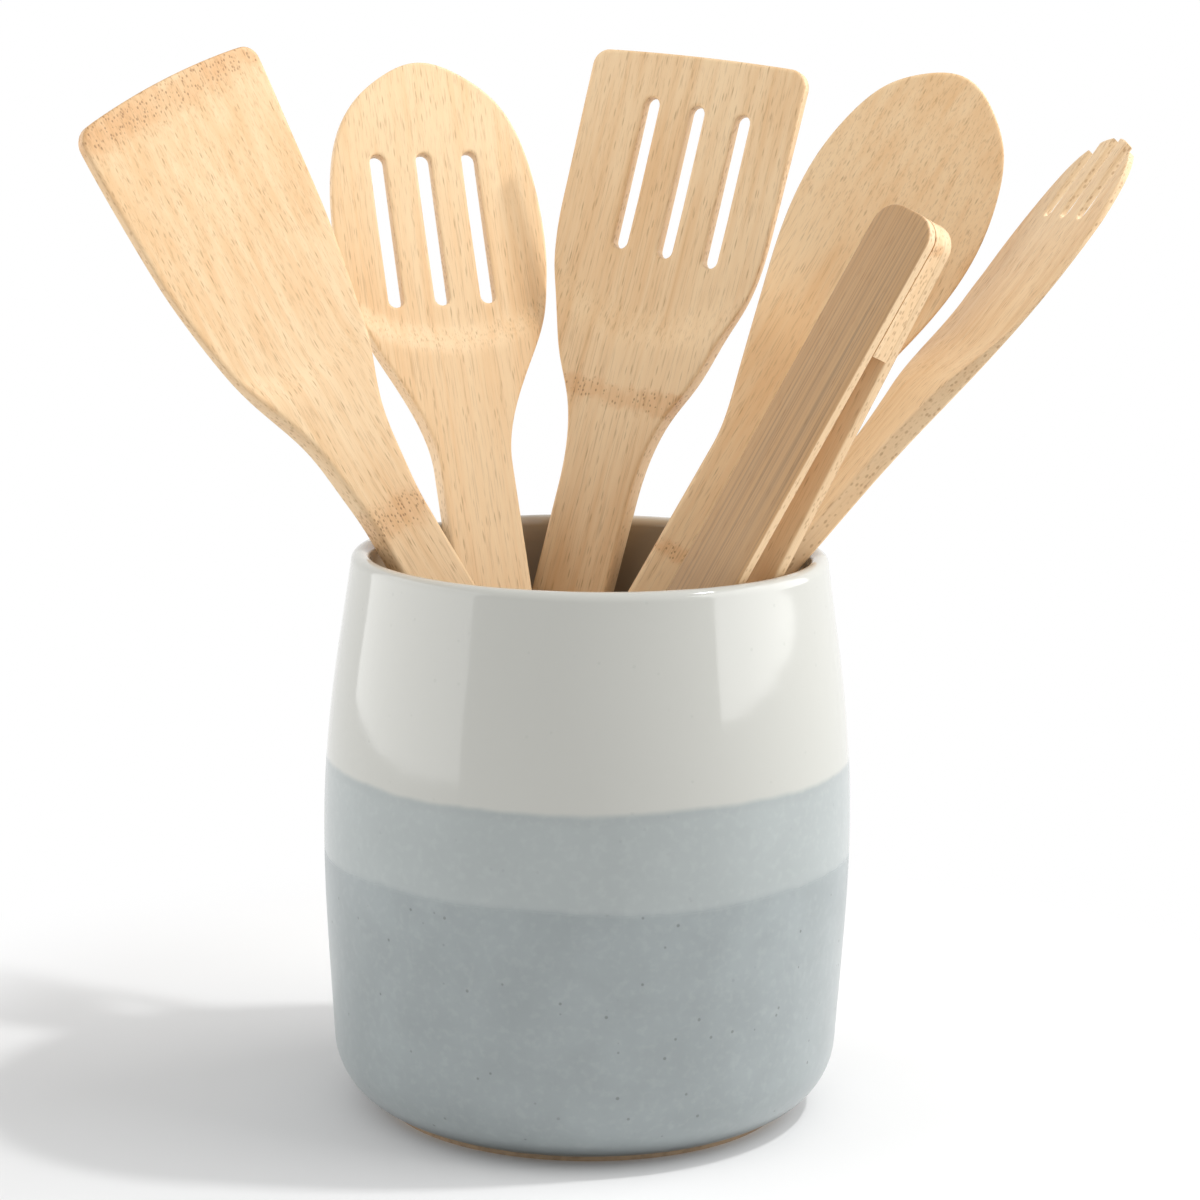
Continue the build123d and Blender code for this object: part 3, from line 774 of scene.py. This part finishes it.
class MakeCrock(bpy.types.Operator):
    """Makes the glazed crock."""
    bl_idname = "utensil_crock.make_crock"
    bl_label = "Make crock"

    def execute(self, context):
        s = context.scene.crock
        lip = s.height - s.wall / 2
        lean = (s.rim_radius - s.shoulder_radius, s.height - s.shoulder_height)
        outer = [(s.heel_radius, s.heel_height), (s.belly_radius, s.belly_height),
                 (s.shoulder_radius, s.shoulder_height), (s.rim_radius, lip)]
        inner = [(r - s.wall, z) for r, z in outer]
        outside = smooth_line(outer, (0.06, 1), lean, 14)
        within = smooth_line(inner, (0.06, 1), lean, 14)
        heel = arc_from(outer[0], (-0.06, -1), (s.foot_radius, s.foot_height), 22)
        floor_edge = s.heel_radius - s.wall - s.inner_corner
        corner = arc_from(inner[0], (-0.06, -1), (floor_edge, s.floor), 16)
        lip_arc = [(s.rim_radius - s.wall / 2 + s.wall / 2 * math.cos(math.pi * i / 14),
                    lip + s.wall / 2 * math.sin(math.pi * i / 14)) for i in range(1, 14)]
        edge = s.foot_radius - s.foot_height / 2
        under = [(0.0, 0.0), (0.4 * edge, 0.0), (0.8 * edge, 0.0), (0.97 * edge, 0.0), (edge, 0.0)]
        profile = [(p, 0.0) for p in under + heel[::-1] + outside[1:]]
        profile += [(p, i / 12) for i, p in enumerate(lip_arc)]
        profile += [(p, 1.0) for p in within[::-1] + corner[1:]]
        profile += [((floor_edge * k, s.floor), 1.0) for k in (0.75, 0.5, 0.25, 0.0)]
        bm = bmesh.new()
        inside = bm.verts.layers.float.new("inside")
        line = []
        for (radius, z), share_inside in profile:
            point = bm.verts.new((radius, 0.0, z))
            point[inside] = share_inside
            line.append(point)
        edges = [bm.edges.new(pair) for pair in zip(line, line[1:])]
        bmesh.ops.spin(bm, geom=line + edges, cent=(0, 0, 0), axis=(0, 0, 1), dvec=(0, 0, 0), angle=2 * math.pi,
                       steps=CROCK_SEGMENTS, use_merge=True, use_duplicate=False)
        bmesh.ops.remove_doubles(bm, verts=bm.verts[:], dist=MERGE_DISTANCE)
        bmesh.ops.recalc_face_normals(bm, faces=bm.faces[:])
        piece = new_piece("crock_body", bm, glaze_material(s), "crock", "glazed_stoneware")
        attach(piece, "crock")
        return {"FINISHED"}


class MakeSolidTurner(bpy.types.Operator):
    """Makes the solid turner."""
    bl_idname = "utensil_crock.make_solid_turner"
    bl_label = "Make solid turner"

    def execute(self, context):
        s = context.scene.solid_turner
        shares = ((0.571, 0.0), (0.619, 0.06), (0.6635, 0.165), (0.727, 0.53), (0.789, 0.76), (0.845, 0.885),
                  (0.90, 0.94))
        material = bamboo_material("solid_turner_bamboo", seed=1.0, tones=toned(0.97, 0.98), streaks=0.42,
                                   bands=(0.987 * s.length, 0.575 * s.length), band_width=0.0075)
        make_utensil("solid_turner", turner_outline(s, shares, bulge=0.0022, slant=-0.002), (), material)
        return {"FINISHED"}


class MakeSlottedTurner(bpy.types.Operator):
    """Makes the slotted turner."""
    bl_idname = "utensil_crock.make_slotted_turner"
    bl_label = "Make slotted turner"

    def execute(self, context):
        s = context.scene.slotted_turner
        shares = ((0.5525, 0.0), (0.608, 0.06), (0.6457, 0.21), (0.682, 0.45), (0.7355, 0.70), (0.772, 0.88),
                  (0.853, 0.99))
        material = bamboo_material("slotted_turner_bamboo", seed=2.3, tones=toned(1.0, 1.0), streaks=0.40,
                                   bands=(0.655 * s.length, NO_BAND), band_width=0.0045)
        holes = slot_outlines(s, length=0.0445, pitch=0.0146, shift=0.0026, inset=0.0138)
        make_utensil("slotted_turner", turner_outline(s, shares, bulge=0.0008, slant=0.005), holes, material)
        return {"FINISHED"}


class MakeSlottedSpoon(bpy.types.Operator):
    """Makes the slotted spoon."""
    bl_idname = "utensil_crock.make_slotted_spoon"
    bl_label = "Make slotted spoon"

    def execute(self, context):
        s = context.scene.slotted_spoon
        sides = ((0.592, 0.0), (0.6456, 0.17), (0.689, 0.47), (0.722, 0.71), (0.789, 0.97))
        tips = ((0.838, 1.0), (0.885, 0.96), (0.958, 0.70), (0.985, 0.40))
        material = bamboo_material("slotted_spoon_bamboo", seed=3.7, tones=toned(1.0, 1.06), streaks=0.38)
        holes = slot_outlines(s, length=0.0463, pitch=0.014, shift=-0.0022, inset=0.0275)
        make_utensil("slotted_spoon", spoon_outline(s, sides, tips), holes, material)
        return {"FINISHED"}


class MakeSolidSpoon(bpy.types.Operator):
    """Makes the solid spoon."""
    bl_idname = "utensil_crock.make_solid_spoon"
    bl_label = "Make solid spoon"

    def execute(self, context):
        s = context.scene.solid_spoon
        sides = ((0.606, 0.0), (0.667, 0.22), (0.75, 0.64), (0.798, 0.87))
        tips = ((0.872, 1.0), (0.923, 0.90), (0.962, 0.70), (0.984, 0.44))
        material = bamboo_material("solid_spoon_bamboo", seed=5.1, tones=toned(1.05, 1.08), streaks=0.30,
                                   bands=(0.50 * s.length, NO_BAND), band_width=0.004)
        make_utensil("solid_spoon", spoon_outline(s, sides, tips), (), material)
        return {"FINISHED"}


class MakeSpork(bpy.types.Operator):
    """Makes the spork."""
    bl_idname = "utensil_crock.make_spork"
    bl_label = "Make spork"

    def execute(self, context):
        s = context.scene.spork
        sides = ((0.56, 0.0), (0.66, 0.14), (0.74, 0.60), (0.80, 0.90))
        tips = ((0.865, 1.0), (0.935, 0.88), (0.978, 0.64))
        material = bamboo_material("spork_bamboo", seed=6.9, tones=toned(0.96, 0.94), streaks=0.5)
        make_utensil("spork", forked(spoon_outline(s, sides, tips), s), (), material, s.thickness)
        return {"FINISHED"}


def forked(outline, s):
    """A spoon's outline with round-bottomed cuts between its tines."""
    top = max(outline, key=lambda p: p[1])
    split = outline.index(top)
    right, left = outline[:split + 1], outline[split:]
    lowest = s.length * TINES_ABOVE_SHARE

    def edge_height(x):
        side = right if x >= 0 else left
        heights = [a[1] + (b[1] - a[1]) * (x - a[0]) / (b[0] - a[0]) for a, b in zip(side, side[1:])
                   if min(a[0], b[0]) <= x <= max(a[0], b[0]) and a[0] != b[0] and a[1] > lowest]
        return max(heights)

    ring = []
    cuts = [((i - 1) * s.tine_pitch - s.tine_gap / 2, (i - 1) * s.tine_pitch + s.tine_gap / 2) for i in (2, 1, 0)]
    bottom = s.length - s.tine_length + s.tine_gap / 2
    limits = [x for cut in cuts for x in (cut[1], cut[0])]
    points = right + left[1:]
    index = 0
    while index < len(points) and not (points[index][1] > bottom and points[index][0] < limits[0]):
        ring.append(points[index])
        index += 1
    for number, (low, high) in enumerate(cuts):
        ring.append((high, edge_height(high)))
        centre = (low + high) / 2
        for i in range(ARC_STEPS + 1):
            angle = -math.pi * i / ARC_STEPS
            ring.append((centre + s.tine_gap / 2 * math.cos(angle), bottom + s.tine_gap / 2 * math.sin(angle)))
        ring.append((low, edge_height(low)))
        following = cuts[number + 1][1] if number + 1 < len(cuts) else None
        while index < len(points) and points[index][0] >= low:
            index += 1
        while following is not None and points[index][0] > following:
            ring.append(points[index])
            index += 1
    return ring + points[index:]


class MakeTongs(bpy.types.Operator):
    """Makes the tongs: two arms and the wedge between them."""
    bl_idname = "utensil_crock.make_tongs"
    bl_label = "Make tongs"

    def execute(self, context):
        s = context.scene.tongs
        b = context.scene.bamboo
        stand = standing(*STANDS["tongs"])
        splay = math.atan((s.wedge_bottom - s.wedge_top) / 2 / s.wedge)
        half = s.width / 2
        outline = []
        for corner, radius in (((half, -s.length), s.tip_corner), ((half, 0), s.end_corner),
                               ((-half, 0), s.end_corner), ((-half, -s.length), s.tip_corner)):
            x, z = corner
            other_z = -s.length if z == 0 else 0
            level, upright = (0, z), (x, other_z)
            arc = rounded_corner(corner, level, upright, radius)
            outline += arc if (x > 0) == (z < 0) else arc[::-1]
        bands = (-0.668 * s.length, NO_BAND)
        dark = bamboo_material("tongs_front_bamboo", seed=8.2, tones=toned(0.93, 0.90), streaks=0.5,
                               bands=bands, band_width=0.009, skin=(tuple(b.dark), FRONT_SKIN))
        light = bamboo_material("tongs_rear_bamboo", seed=9.4, tones=toned(0.93, 0.92), streaks=0.35,
                                bands=bands, band_width=0.004, skin=(shade(b.dark, 0.9), REAR_SKIN))
        for name, side, slot, material in (("tongs_front", -1, "bamboo_dark", dark),
                                           ("tongs_rear", 1, "bamboo", light)):
            bm = flat_board(outline, (), s.arm, ARM_EDGE)
            cut_across(bm, 2, -s.length, 0.0, ARM_PITCH)
            layer = bm.verts.layers.float_vector.new("board")
            depth = bm.verts.layers.float.new("depth")
            for v in bm.verts:
                v[layer] = (v.co.x, s.arm / 2 - side * v.co.y, v.co.z)
                v[depth] = 2 * v.co.y / s.arm
            place = (stand @ Matrix.Translation((0, side * s.wedge_top / 2, s.length))
                     @ Matrix.Rotation(side * splay, 4, "X") @ Matrix.Translation((0, side * s.arm / 2, 0)))
            bmesh.ops.transform(bm, matrix=place, verts=bm.verts[:])
            piece = new_piece(name + "_board", bm, material, name + "_arm", slot)
            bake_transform(piece)
        bm = bmesh.new()
        bmesh.ops.create_cube(bm, size=1.0)
        for v in bm.verts:
            depth = (s.wedge_top if v.co.z > 0 else s.wedge_bottom) - 2 * s.glue
            v.co = (v.co.x * s.width, v.co.y * depth, s.length - (0 if v.co.z > 0 else s.wedge))
        corners = [e for e in bm.edges if all(v.co.z > s.length - s.wedge / 2 for v in e.verts)
                   and abs(e.verts[0].co.x - e.verts[1].co.x) < MERGE_DISTANCE]
        bmesh.ops.bevel(bm, geom=corners, offset=s.end_corner, offset_type="OFFSET", segments=CORNER_SEGMENTS,
                        profile=0.5, affect="EDGES", clamp_overlap=True, material=-1)
        mark_board(bm, stand)
        wood = bamboo_material("tongs_wedge_bamboo", seed=11.0, tones=toned(1.02, 1.0), streaks=0.35,
                               bands=(s.length - 0.006, NO_BAND), band_width=0.003)
        piece = new_piece("tongs_wedge_block", bm, wood, "tongs_wedge", "bamboo")
        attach(piece, "tongs")
        return {"FINISHED"}


class MakeStage(bpy.types.Operator):
    """Makes the floor, the lamps, the world and the camera."""
    bl_idname = "utensil_crock.make_stage"
    bl_label = "Make stage"

    def execute(self, context):
        s = context.scene.stage
        scene = context.scene
        scene.view_settings.view_transform = "Standard"
        self.make_floor(s)
        self.make_world(scene, s.ambient)
        for (name, (place, aim, extent)), power in zip(LAMPS.items(), (s.right_power, s.left_power, s.key_power)):
            self.make_lamp(name, place, aim, extent, power)
        self.make_camera(scene)
        return {"FINISHED"}

    def make_floor(self, s):
        """A floor that shows the shadow near the object and is plain white further off."""
        material, n, shader = blank_material("white_floor", (0.8, 0.8, 0.8))
        shader.inputs["Roughness"].default_value = 0.9
        shader.inputs["Specular IOR Level"].default_value = 0.0
        seen = n.add("ShaderNodeLightPath").outputs["Is Camera Ray"]
        grey = n.math("MULTIPLY_ADD", seen, s.floor_seen - s.floor_bounce, s.floor_bounce)
        n.feed(shader.inputs["Base Color"], grey)
        far = n.add("ShaderNodeEmission", None, Color=(1.0, 1.0, 1.0, 1.0), Strength=1.0)
        place = n.add("ShaderNodeTexCoord").outputs["Object"]
        distance = n.add("ShaderNodeVectorMath", {"operation": "LENGTH"})
        n.feed(distance.inputs[0], place)
        blend = n.add("ShaderNodeMixShader")
        n.feed(blend.inputs[0], n.step(distance.outputs["Value"], s.fade_start, s.fade_end))
        n.feed(blend.inputs[1], shader.outputs[0])
        n.feed(blend.inputs[2], far.outputs[0])
        n.feed(material.node_tree.nodes["Material Output"].inputs["Surface"], blend.outputs[0])
        bm = bmesh.new()
        bmesh.ops.create_circle(bm, cap_ends=True, radius=s.floor_radius, segments=96)
        mesh = bpy.data.meshes.new("floor")
        bm.to_mesh(mesh)
        bm.free()
        mesh.materials.append(material)
        floor = bpy.data.objects.new("floor", mesh)
        bpy.context.scene.collection.objects.link(floor)

    def make_world(self, scene, ambient):
        """Even light from all round, and plain white where it is seen."""
        world = scene.world or bpy.data.worlds.new("studio")
        scene.world = world
        world.use_nodes = True
        tree = world.node_tree
        tree.nodes.clear()
        n = Nodes(tree)
        path = n.add("ShaderNodeLightPath").outputs
        through = n.math("MAXIMUM", path["Is Glossy Ray"], path["Is Transmission Ray"])
        seen = n.math("MAXIMUM", path["Is Camera Ray"], through)
        light = n.add("ShaderNodeBackground", None, Color=(1.0, 1.0, 1.0, 1.0), Strength=ambient)
        white = n.add("ShaderNodeBackground", None, Color=(1.0, 1.0, 1.0, 1.0), Strength=1.0)
        blend = n.add("ShaderNodeMixShader")
        n.feed(blend.inputs[0], seen)
        n.feed(blend.inputs[1], light.outputs[0])
        n.feed(blend.inputs[2], white.outputs[0])
        n.add("ShaderNodeOutputWorld", None, Surface=blend.outputs[0])

    def make_lamp(self, name, place, aim, extent, power):
        """One rectangular lamp turned to its aim."""
        data = bpy.data.lights.new(name, "AREA")
        data.shape = "RECTANGLE"
        data.size, data.size_y = extent
        data.energy = power
        lamp = bpy.data.objects.new(name, data)
        lamp.location = place
        lamp.rotation_euler = (Vector(aim) - Vector(place)).to_track_quat("-Z", "Y").to_euler()
        bpy.context.scene.collection.objects.link(lamp)

    def make_camera(self, scene):
        """The photograph's camera."""
        data = bpy.data.cameras.new("camera")
        data.sensor_width = SENSOR_WIDTH
        data.lens = CAMERA_LENS
        data.clip_start, data.clip_end = 0.05, 20.0
        camera = bpy.data.objects.new("camera", data)
        camera.matrix_world = (Matrix.Translation(CAMERA_PLACE)
                               @ Matrix.Rotation(math.pi / 2 + CAMERA_PITCH, 4, "X")
                               @ Matrix.Rotation(CAMERA_ROLL, 4, "Z"))
        scene.collection.objects.link(camera)
        scene.camera = camera


SETTINGS = {
    "crock": CrockSettings, "bamboo": BambooSettings, "solid_turner": SolidTurnerSettings,
    "slotted_turner": SlottedTurnerSettings, "slotted_spoon": SlottedSpoonSettings,
    "solid_spoon": SolidSpoonSettings, "spork": SporkSettings, "tongs": TongsSettings, "stage": StageSettings,
}
OPERATORS = (MakeCrock, MakeSolidTurner, MakeSlottedTurner, MakeSlottedSpoon, MakeSolidSpoon, MakeSpork, MakeTongs,
             MakeStage)


class UtensilCrockPanel(bpy.types.Panel):
    """Lists the pieces and their sizes."""
    bl_idname = "VIEW3D_PT_utensil_crock"
    bl_label = "Utensil crock"
    bl_space_type = "VIEW_3D"
    bl_region_type = "UI"
    bl_category = "Utensil crock"

    def draw(self, context):
        for operator in OPERATORS:
            self.layout.operator(operator.bl_idname)
        for name, group in SETTINGS.items():
            box = self.layout.box()
            box.label(text=name.replace("_", " ").capitalize())
            for prop in group.__annotations__:
                box.prop(getattr(context.scene, name), prop)


def register():
    """Registers the settings, the operators and the panel."""
    for name, group in SETTINGS.items():
        bpy.utils.register_class(group)
        setattr(bpy.types.Scene, name, PointerProperty(type=group))
    for item in (*OPERATORS, UtensilCrockPanel):
        bpy.utils.register_class(item)


def unregister():
    """Takes them away again."""
    for item in (UtensilCrockPanel, *OPERATORS):
        bpy.utils.unregister_class(item)
    for name, group in SETTINGS.items():
        delattr(bpy.types.Scene, name)
        bpy.utils.unregister_class(group)


def main():
    """Builds the whole object."""
    register()
    bpy.ops.utensil_crock.make_crock()
    bpy.ops.utensil_crock.make_solid_turner()
    bpy.ops.utensil_crock.make_slotted_turner()
    bpy.ops.utensil_crock.make_slotted_spoon()
    bpy.ops.utensil_crock.make_solid_spoon()
    bpy.ops.utensil_crock.make_spork()
    bpy.ops.utensil_crock.make_tongs()
    bpy.ops.utensil_crock.make_stage()


if __name__ == "__main__":
    main()
